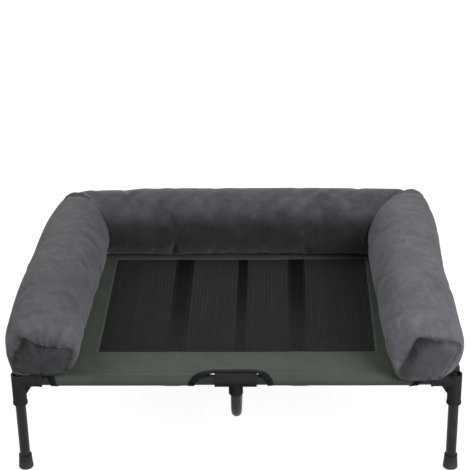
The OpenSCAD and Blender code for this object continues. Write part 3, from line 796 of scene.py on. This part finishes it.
# The side rolls: half widths at front, middle and mitre, heights at front and middle, the corners of each end
# panel as outward from ROLL_X and up from the floor, and the painted light and shade of each part: how pale
# the roll is painted, how much paler towards its front, how dark its end panel, the side and depth of the
# painted shade beside the panel's seam, the painted highlight on the open side of the rim, and the painted
# shade where the seam is drawn in
ARMS = {
    "left": dict(side=-1, front=-0.372, splay=0.017, bow=0.004, half=(0.090, 0.095, 0.082),
                 tall=(0.150, 0.168), rounding=0.32, skew=0.0, blunt=14, pucker=0.026, ear=0.36,
                 ear_turn=1.00, tuck=0.005, gather=0.0012,
                 panel=((0.060, 0.353), (-0.055, 0.336), (-0.058, 0.316), (-0.034, 0.263), (0.014, 0.259),
                        (0.096, 0.268), (0.086, 0.328)),
                 tone_and_painted_light=1.08, brushing_and_painted_light=0.36, panel_painted_shade=0.60, dark_turn=1.2, dark=0.60, rim=0.0, soft=0.42),
    "right": dict(side=1, front=-0.391, splay=0.009, bow=-0.008, half=(0.091, 0.094, 0.094),
                  tall=(0.152, 0.168), rounding=0.24, skew=0.05, blunt=14, pucker=0.006, ear=0.04,
                  ear_turn=0.60, tuck=0.004, gather=0.0006,
                  panel=((-0.015, 0.380), (0.086, 0.356), (0.089, 0.343), (0.084, 0.322), (0.049, 0.259),
                         (-0.045, 0.258), (-0.061, 0.271)),
                  tone_and_painted_light=1.42, brushing_and_painted_light=0.05, panel_painted_shade=0.98, dark_turn=2.4, dark=0.80, rim=0.40, soft=0.0),
}
section_turn = -np.pi / 2 + 2 * np.pi * np.arange(AROUND) / AROUND
puckers = (np.sin(9 * section_turn + 1) + np.sin(14 * section_turn + 2) + np.sin(23 * section_turn)) / 3


def roll_foot(x, y):
    """Height of what a roll rests on: the sagging border, which rounds off over the rails, the sleeves of the
    corner connectors, and the gripping squares where there are any. In the corner bites it sinks to the
    tubes."""
    off_x, off_y = np.abs(np.abs(x) - LEG_X), np.abs(np.abs(y) - LEG_Y)
    past_x, past_y = (np.clip(np.abs(at) - leg, 0, SLEEVE_R) for at, leg in ((x, LEG_X), (y, LEG_Y)))
    fall = sum(SLEEVE_R - np.sqrt(SLEEVE_R ** 2 - past ** 2) for past in (past_x, past_y))
    spot = np.stack(np.broadcast_arrays(x, y), -1)[..., None, :]
    off = np.abs(spot - np.array(patch_centres)[:, :2]).max(-1).min(-1)
    cloth = DECK_TOP - sag(x, y) - fall + PATCH_LIFT * ease(PATCH / 2 + 0.008, PATCH / 2, off)
    notch = np.hypot(np.abs(x) - LEG_X + BITE_IN, np.abs(y) - LEG_Y + BITE_IN)
    cloth = cloth - NOTCH_SAG * ease(BITE_R, BITE_R - 0.006, notch)
    bare = np.sqrt(np.maximum(TUBE_R ** 2 - np.minimum(off_x, off_y) ** 2, 0))
    sleeve_x = np.where(off_x < CORNER_SLEEVE, np.sqrt(np.maximum(CORNER_R ** 2 - off_y ** 2, 0)), 0)
    sleeve_y = np.where(off_y < CORNER_SLEEVE, np.sqrt(np.maximum(CORNER_R ** 2 - off_x ** 2, 0)), 0)
    return np.maximum(cloth, RAIL_Z + np.maximum(bare, np.maximum(sleeve_x, sleeve_y))) + ROLL_CLEAR


def blunt_panel(arm):
    """Outline of an end panel at each turn of the section: a polygon given by its corners, with blunted
    points, radius = (sum of max(0, n.e / d) ** p) ** (-1 / p) over its sides' normals n and distances d,
    puckered all round and drawn out at one corner to an ear."""
    corners = np.array(arm["panel"])
    middle = corners.mean(0)
    edge = np.roll(corners, -1, 0) - corners
    normal = np.stack([edge[:, 1], -edge[:, 0]], -1) / np.linalg.norm(edge, axis=1, keepdims=True)
    distance = ((corners - middle) * normal).sum(1)
    normal, distance = normal * np.sign(distance)[:, None], np.abs(distance)
    ray = np.stack([np.cos(section_turn), np.sin(section_turn)], -1)
    radius = (np.maximum(ray @ normal.T / distance, 0) ** arm["blunt"]).sum(1) ** (-1 / arm["blunt"])
    ear = arm["ear"] * np.exp(-((section_turn - arm["ear_turn"]) / 0.17) ** 2)
    return middle + ray * (radius * (1 + arm["pucker"] * puckers + ear))[:, None]


def arm_rings(arm):
    """Rings of one side roll from its front panel to the mitre. Half width and height ease along the roll,
    the ring closes to the panel's outline at the front, slowest on top, and it shears to 45 degrees at the
    mitre."""
    length = ROLL_Y - arm["front"]
    near_panel = np.array([0, 0.002, 0.005, 0.009, 0.014, 0.020, 0.027, 0.035, 0.044, 0.053, 0.062])
    near_mitre = length - np.array([0.054, 0.045, 0.036, 0.028, 0.021, 0.015, 0.010, 0.006, 0.003, 0.0])
    gone = np.concatenate([near_panel, np.linspace(0.070, length - 0.062, 76), near_mitre])[:, None]
    share = gone / length
    shift = arm["splay"] * (1 - ease(0, 1.0, share)) + arm["bow"] * np.sin(np.pi * share)
    front, middle, back = arm["half"]
    half = front + (middle - front) * ease(0, 0.5, share) + (back - middle) * ease(0.6, 1, share)
    low, high = arm["tall"]
    tall = low + (high - low) * ease(0, 0.35, share)
    outward = half * np.cos(section_turn)
    rise = np.maximum((tall + ROLL_FLAT) / 2 * (1 + np.sin(section_turn)) - ROLL_FLAT, 0)
    corner = np.clip(1 - (length - gone) / CORNER_REACH, 0, 1) ** 2
    outward = np.where(outward > 0, outward * (1 - arm["rounding"] * corner), outward)
    rise = rise * (1 + CORNER_RISE * corner)
    outline = blunt_panel(arm)
    closing = PANEL_DEPTH * (0.6 + 0.4 * np.sin(section_turn))
    closed = np.clip(1 - gone / closing, 0, 1) ** PANEL_BLEND
    y = arm["front"] + gone + outward * (ease(length - MITRE_REACH, length, gone)
                                         + arm["skew"] * (1 - ease(0, 0.3, gone)))
    across = (1 - closed) * (shift + outward) + closed * outline[:, 0]
    x = arm["side"] * (ROLL_X + across)
    z = (1 - closed) * (DECK_TOP + ROLL_CLEAR - sag(x, y) + rise) + closed * outline[:, 1]
    return np.stack([x, y, np.maximum(z, roll_foot(x, y))], -1), gone[:, 0]


def panel_rings(arm, rim):
    """Rings of an end panel from the rim in to its middle: the rim shrunk by each share, crowned to the front
    by PANEL_CROWN (1 - share²), with a puckered tuck just inside the seam."""
    share = PANEL_SHARE[:, None]
    middle = rim.mean(0)
    rings = middle + share[..., None] * (rim - middle)
    tuck = arm["tuck"] * np.exp(-((share - 0.86) / 0.11) ** 2) * (1 + 0.9 * puckers)
    rings[..., 1] += tuck - PANEL_CROWN * (1 - share ** 2)
    return rings


def facing(turn):
    """How far each turn of the section faces a given one, from 0 to 1."""
    return np.maximum(np.cos(section_turn - turn), 0)


def paint_panel_shade(arm):
    """Painted shade of an end panel: the whole panel painted darker by its share, and darker still beside the
    seam on the side where the sleeve overhangs it and in the puckers."""
    beside = np.exp(-((1 - PANEL_SHARE[:, None]) / 0.4) ** 2)
    shaded = np.clip(facing(arm["dark_turn"]) + 20 * arm["pucker"] * puckers, 0, 1)
    return arm["panel_painted_shade"] * (1 - arm["dark"] * beside * shaded)


def paint_sleeve_light(arm, gone):
    """Painted light of a side roll: painted paler all over, paler still towards its front end and darker
    towards the back, with a painted highlight where its seam stands up along the panel's open side, and
    painted shade where the seam is drawn in."""
    edge = np.exp(-(gone[:, None] / 0.004) ** 2)
    drawn_in_shade = arm["soft"] * np.exp(-(gone[:, None] / 0.018) ** 2) * np.clip(0.8 + 0.4 * puckers, 0, 1)
    front = np.exp(-(gone[:, None] / 0.07) ** 2) - 0.1 * ease(0.30, 0.55, gone[:, None])
    painted_rim_highlight = arm["rim"] * edge * facing(arm["dark_turn"] + np.pi)
    return arm["tone_and_painted_light"] * (1 + arm["brushing_and_painted_light"] * front + painted_rim_highlight) * (1 - drawn_in_shade)


def paint_back_light(x):
    """Painted light of the back roll: pale up the back and over the top, painted shade down the front face,
    and crushed in patches about 80 mm wide."""
    low, high = BACK_PAINTED_LIGHT
    front_face = ease(0.3, -0.2, np.cos(section_turn)) * (1 - ease(0.2, 1.0, np.sin(section_turn)))
    crushed = np.sin(x / 0.013 + 2.3 * np.sin(3 * section_turn + 1)) * np.sin(x / 0.031 + 4 * section_turn)
    return (high - (high - low) * front_face) * (1 + 0.16 * crushed)


def gathers(arm, gone):
    """Gathers of a side roll behind its end panel: the seam's puckers, which die out in about 20 mm."""
    return arm["gather"] * np.exp(-gone[:, None] / 0.02) * puckers


def back_rings(left, right):
    """Rings of the back roll between the two mitres: every point runs straight from one mitre to the other,
    and the section eases from the mitres' own shape to the full roll, whose front is drawn back under it."""
    near = np.array([0.003, 0.007, 0.012, 0.018, 0.025, 0.033, 0.042, 0.052])
    share = np.concatenate([near, np.linspace(0.062, 0.938, 112), 1 - near[::-1]])[:, None]
    x = left[:, 0] + share * (right[:, 0] - left[:, 0])
    under = ease(0, -0.5, np.cos(section_turn)) * ease(0, -1, np.sin(section_turn))
    y = ROLL_Y + ROLL_HALF * np.cos(section_turn) + BACK_UNDERCUT * under + 0 * x
    rise = np.maximum((ROLL_TALL + ROLL_FLAT) / 2 * (1 + np.sin(section_turn)) - ROLL_FLAT, 0)
    z = DECK_TOP + ROLL_CLEAR - sag(x, y) + rise
    from_left, from_right = (np.clip(1 - gone / BACK_EASE, 0, 1) ** 2 for gone in (share, 1 - share))
    y = y + from_left * (left[:, 1] - y) + from_right * (right[:, 1] - y)
    z = z + from_left * (left[:, 2] - z) + from_right * (right[:, 2] - z)
    from_seam = 2 * ROLL_X * np.minimum(share, 1 - share)[:, 0]
    return np.stack([x, y, np.maximum(z, roll_foot(x, y))], -1), from_seam


def slack_folds(gone, girth):
    """Soft creases across the rolls, as one depth for each point: each crease is a trough with raised lips,
    (2 w² - 1) exp(-w²) across it and a bell along it, at a place and slant of its own."""
    count = 90
    at = chance.uniform(0, gone.max(), count)
    turn = chance.uniform(-0.6, 3.7, count)
    slant = chance.normal(0, 0.35, count)
    width = chance.uniform(0.012, 0.022, count)
    reach = chance.uniform(0.03, 0.07, count)
    depth = chance.uniform(0.0004, 0.0015, count)
    ahead = gone[..., None] - at
    round_by = (np.mod(girth[..., None] - turn + np.pi, 2 * np.pi) - np.pi) * ROLL_HALF
    across = (ahead * np.cos(slant) + round_by * np.sin(slant)) / width
    beside = (round_by * np.cos(slant) - ahead * np.sin(slant)) / reach
    return (depth * (2 * across ** 2 - 1) * np.exp(-across ** 2 - beside ** 2)).sum(-1)


def settle(piece, held):
    """Cloth under pressure from the fibre, held where `held` is 1, with 2 % of slack; returns its points."""
    group = piece.vertex_groups.new(name="held")
    group.add(np.flatnonzero(held).tolist(), 1.0, "REPLACE")
    cloth = piece.modifiers.new("settle", "CLOTH")
    rule = cloth.settings
    rule.quality = 6
    rule.mass = 0.25
    rule.tension_stiffness = 12
    rule.compression_stiffness = 12
    rule.shear_stiffness = 6
    rule.bending_stiffness = 0.4
    rule.shrink_min = -0.02
    rule.use_pressure = True
    rule.uniform_pressure_force = 4.0
    rule.vertex_group_mass = "held"
    rule.effector_weights.gravity = 0.0
    cloth.collision_settings.use_collision = False
    for step in range(1, 21):
        bpy.context.scene.frame_set(step)
    settled = piece.evaluated_get(bpy.context.evaluated_depsgraph_get()).data
    points = np.empty(3 * len(settled.vertices), np.float32)
    settled.vertices.foreach_get("co", points)
    piece.modifiers.remove(cloth)
    piece.vertex_groups.clear()
    bpy.context.scene.frame_set(1)
    return points.reshape(-1, 3)


def short_pile_velvet():
    """Polyester velvet: a soft sheen at grazing angles, pile brushing paler and darker in patches 60 mm
    across with finger marks of 16 mm in them, a fine 1.5 mm pile drawn coarser than the real 0.5 mm, and
    painted shade down in the seams. The colour is multiplied by a point attribute of painted light and shade:
    the end panels and the back roll's front face painted darker, the right roll paler than the left, and the
    rolls paler towards their front ends."""
    finish, tree, shader = new_finish("short_pile_velvet", Roughness=0.9, Sheen_Weight=0.22,
                                      Sheen_Roughness=0.5, IOR=1.45, Specular_IOR_Level=0.1)
    where = add(tree, "TexCoord").outputs["Object"]
    brushing_and_painted_light = add(tree, "TexNoise", {"Vector": where, "Scale": per_mm(60), "Detail": 6.0, "Roughness": 0.65,
                                     "Distortion": 0.8})
    marks = add(tree, "TexNoise", {"Vector": where, "Scale": per_mm(16), "Detail": 5.0, "Roughness": 0.6})
    pile = add(tree, "TexNoise", {"Vector": where, "Scale": per_mm(1.5), "Detail": 2.0})
    touched = add(tree, "MapRange", {"Value": marks, "From Min": 0.3, "From Max": 0.7, "To Min": 0.86,
                                     "To Max": 1.14})
    tone = add(tree, "MapRange", {"Value": brushing_and_painted_light, "From Min": 0.32, "From Max": 0.68})
    tone_and_painted_light = add(tree, "Mix", {0: tone, 6: linear("#4d4c51"), 7: linear("#5e5d63")}, data_type="RGBA")
    grain = add(tree, "MapRange", {"Value": pile, "To Min": 0.85, "To Max": 1.15})
    fibre = add(tree, "VectorMath", {0: tone_and_painted_light, 1: grain}, operation="MULTIPLY")
    # The point attribute read here holds the painted light and shade of every part of the bolster.
    lie = add(tree, "Attribute", attribute_name="tone_and_painted_light").outputs["Fac"]
    stroke = add(tree, "Math", {0: lie, 1: touched}, operation="MULTIPLY")
    cut = add(tree, "VectorMath", {0: fibre, 1: stroke}, operation="MULTIPLY")
    seam = add(tree, "Attribute", attribute_name="seam").outputs["Fac"]
    colour = add(tree, "Mix", {0: seam, 6: cut, 7: linear("#2b2b2d")}, data_type="RGBA")
    relief = add(tree, "Bump", {"Height": pile, "Strength": 0.4, "Distance": 0.0006})
    feed(tree, shader, {"Base Color": colour, "Normal": relief})
    return finish


left_arm, left_gone = arm_rings(ARMS["left"])
right_arm, right_gone = arm_rings(ARMS["right"])
back_roll, back_from_seam = back_rings(left_arm[-1], right_arm[-1])
left_panel = panel_rings(ARMS["left"], left_arm[0])[::-1]
right_panel = panel_rings(ARMS["right"], right_arm[0])
right_arm, right_gone = right_arm[::-1], right_gone[::-1]
bolster_parts = (left_panel, left_arm, back_roll, right_arm, right_panel)
rings = np.concatenate(bolster_parts)
poles = np.array([left_panel[0].mean(0), right_panel[-1].mean(0)])


def over_bolster(*values):
    """One value for each point of the bolster from the values of its five parts, and of the poles last."""
    spread = [np.broadcast_to(value, part.shape[:2]).ravel() for value, part in zip(values, bolster_parts)]
    return np.concatenate([*spread, spread[0][:1], spread[-1][-1:]])


base = np.concatenate([rings.reshape(-1, 3), poles])
index = np.arange(rings.shape[0] * AROUND).reshape(-1, AROUND)
fans = [[pole, a, b] for pole, rim in ((index.size, index[0]), (index.size + 1, index[-1]))
        for a, b in zip(rim, np.roll(rim, -1))]
bolster = make_piece("bolster", base, grid_quads(*rings.shape[:2], closed=True).tolist() + fans,
                     short_pile_velvet(), "bolster")
face_out(bolster)
left_from_seam, right_from_seam = (np.minimum(gone, gone.max() - gone)[:, None]
                                   for gone in (left_gone, right_gone))
at_seam = over_bolster(0.05, left_from_seam, back_from_seam[:, None], right_from_seam, 0.05)
resting = base[:, 2] < roll_foot(base[:, 0], base[:, 1]) + 0.0015
settled = base
moved = settle(bolster, (at_seam < 1e-6) | resting) - base
far = np.linalg.norm(moved, axis=1, keepdims=True)
settled = base + moved * np.minimum(1, MOST_SWELL / np.maximum(far, 1e-9))
bolster.data.vertices.foreach_set("co", settled.astype(np.float32).ravel())
bolster.data.update()
out = np.empty(base.size, np.float32)
bolster.data.vertices.foreach_get("normal", out)
centre_run = run_length(rings.mean(1))[:, None]
folds = slack_folds(centre_run + 0 * section_turn, section_turn + 0 * centre_run).ravel()
folds = np.append(folds, [0, 0]) * ease(0.0, 0.03, at_seam)
folds += over_bolster(0, gathers(ARMS["left"], left_gone), 0, gathers(ARMS["right"], right_gone), 0)
seam_lips = SEAM_LIP * np.exp(-((at_seam - 0.012) / 0.006) ** 2)
seam_lips = seam_lips - SEAM_DEEP * np.exp(-(at_seam / 0.003) ** 2)
shaped = settled + out.reshape(-1, 3) * (folds + seam_lips)[:, None]
shaped[:, 2] = np.maximum(shaped[:, 2], roll_foot(shaped[:, 0], shaped[:, 1]))
bolster.data.vertices.foreach_set("co", shaped.astype(np.float32).ravel())
bolster.data.update()
# The seam attribute is painted shade down the seams: patchy with the puckers by the left panel, and by the
# right panel only on the side the sleeve overhangs.
left_seam_shade = np.where(left_gone[:, None] < 0.05, np.clip(0.4 + puckers, 0, 1), 1)
right_seam_shade = 1 - facing(ARMS["right"]["dark_turn"] + np.pi) * np.exp(-right_gone[:, None] / 0.02)
shades = {
    "tone_and_painted_light": over_bolster(paint_panel_shade(ARMS["left"])[::-1], paint_sleeve_light(ARMS["left"], left_gone),
                        paint_back_light(back_roll[..., 0]), paint_sleeve_light(ARMS["right"], right_gone),
                        paint_panel_shade(ARMS["right"])),
    "seam": 0.6 * np.exp(-(at_seam / 0.0025) ** 2) * over_bolster(1, left_seam_shade, 1, right_seam_shade, 1),
}
for name, values in shades.items():
    shade = bolster.data.attributes.new(name, "FLOAT", "POINT")
    shade.data.foreach_set("value", values.astype(np.float32))
smooth = bolster.modifiers.new("smooth", "SUBSURF")
smooth.levels = 1
smooth.render_levels = 1
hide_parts(*[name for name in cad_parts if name.startswith("bolster_")])


# Stage: a pale floor and plain soft studio light, with the camera where the photograph was taken.
# Floor and sky are white only as they are seen, and the floor keeps a faint shadow.
CAMERA_AT = (0.1081, -3.4216, 2.1506)
PITCH, YAW, ROLL = np.radians([26.443, 1.932, -1.099])
scene = bpy.context.scene
scene.view_settings.view_transform = "Standard"
eye = bpy.data.objects.new("camera", bpy.data.cameras.new("camera"))
eye.data.sensor_width = 36.0
eye.data.lens = 116.05
eye.matrix_world = (Matrix.Translation(CAMERA_AT) @ Matrix.Rotation(YAW, 4, "Z")
                    @ Matrix.Rotation(np.pi / 2 - PITCH, 4, "X") @ Matrix.Rotation(ROLL, 4, "Z"))
scene.collection.objects.link(eye)
scene.camera = eye


def white_seen(tree, strength):
    """Strength that only the camera, reflections and clear pieces see, so it adds no light to the object."""
    ray = add(tree, "LightPath").outputs
    seen = add(tree, "Math", {0: ray["Is Camera Ray"], 1: ray["Is Glossy Ray"]}, operation="MAXIMUM")
    through = add(tree, "Math", {0: seen, 1: ray["Is Transmission Ray"]}, operation="MAXIMUM")
    return add(tree, "Math", {0: through, 1: strength}, operation="MULTIPLY")


floor_mesh = bpy.data.meshes.new("floor")
floor_mesh.from_pydata([(-12, -12, 0), (12, -12, 0), (12, 12, 0), (-12, 12, 0)], [], [(0, 1, 2, 3)])
floor = bpy.data.objects.new("floor", floor_mesh)
scene.collection.objects.link(floor)
paper = bpy.data.materials.new("pale_floor")
paper.use_nodes = True
tree = paper.node_tree
tree.nodes.clear()
matte = add(tree, "BsdfDiffuse", {"Color": linear("#8c8c8c")})
glow = add(tree, "Emission", {"Strength": white_seen(tree, 0.93)})
both = add(tree, "AddShader", {0: matte, 1: glow})
add(tree, "OutputMaterial", {"Surface": both})
floor_mesh.materials.append(paper)

world = bpy.data.worlds.new("studio")
world.use_nodes = True
scene.world = world
tree = world.node_tree
tree.nodes.clear()
ambient = add(tree, "Background", {"Strength": 0.15})
white = add(tree, "Background", {"Color": linear("#ffffff"), "Strength": 1.0})
sky = add(tree, "MixShader", {0: white_seen(tree, 1.0), 1: ambient, 2: white})
add(tree, "OutputWorld", {"Surface": sky})


def soft_box(name, place, aim, size, power):
    """A square studio soft box at a place, facing a point."""
    lamp = bpy.data.lights.new(name, "AREA")
    lamp.size = size
    lamp.energy = power
    box = bpy.data.objects.new(name, lamp)
    box.location = place
    box.rotation_euler = (Vector(aim) - Vector(place)).to_track_quat("-Z", "Y").to_euler()
    scene.collection.objects.link(box)


soft_box("key", (2.2, -2.2, 2.2), (0, 0, 0.2), 2.0, 104)
soft_box("side", (-2.4, -0.4, 2.4), (0, 0, 0.2), 2.0, 38)
soft_box("front", (0.0, -3.2, 1.0), (0, 0, 0.2), 2.0, 10)
soft_box("back", (-0.8, 3.0, 1.4), (0, 0, 0.2), 2.0, 20)
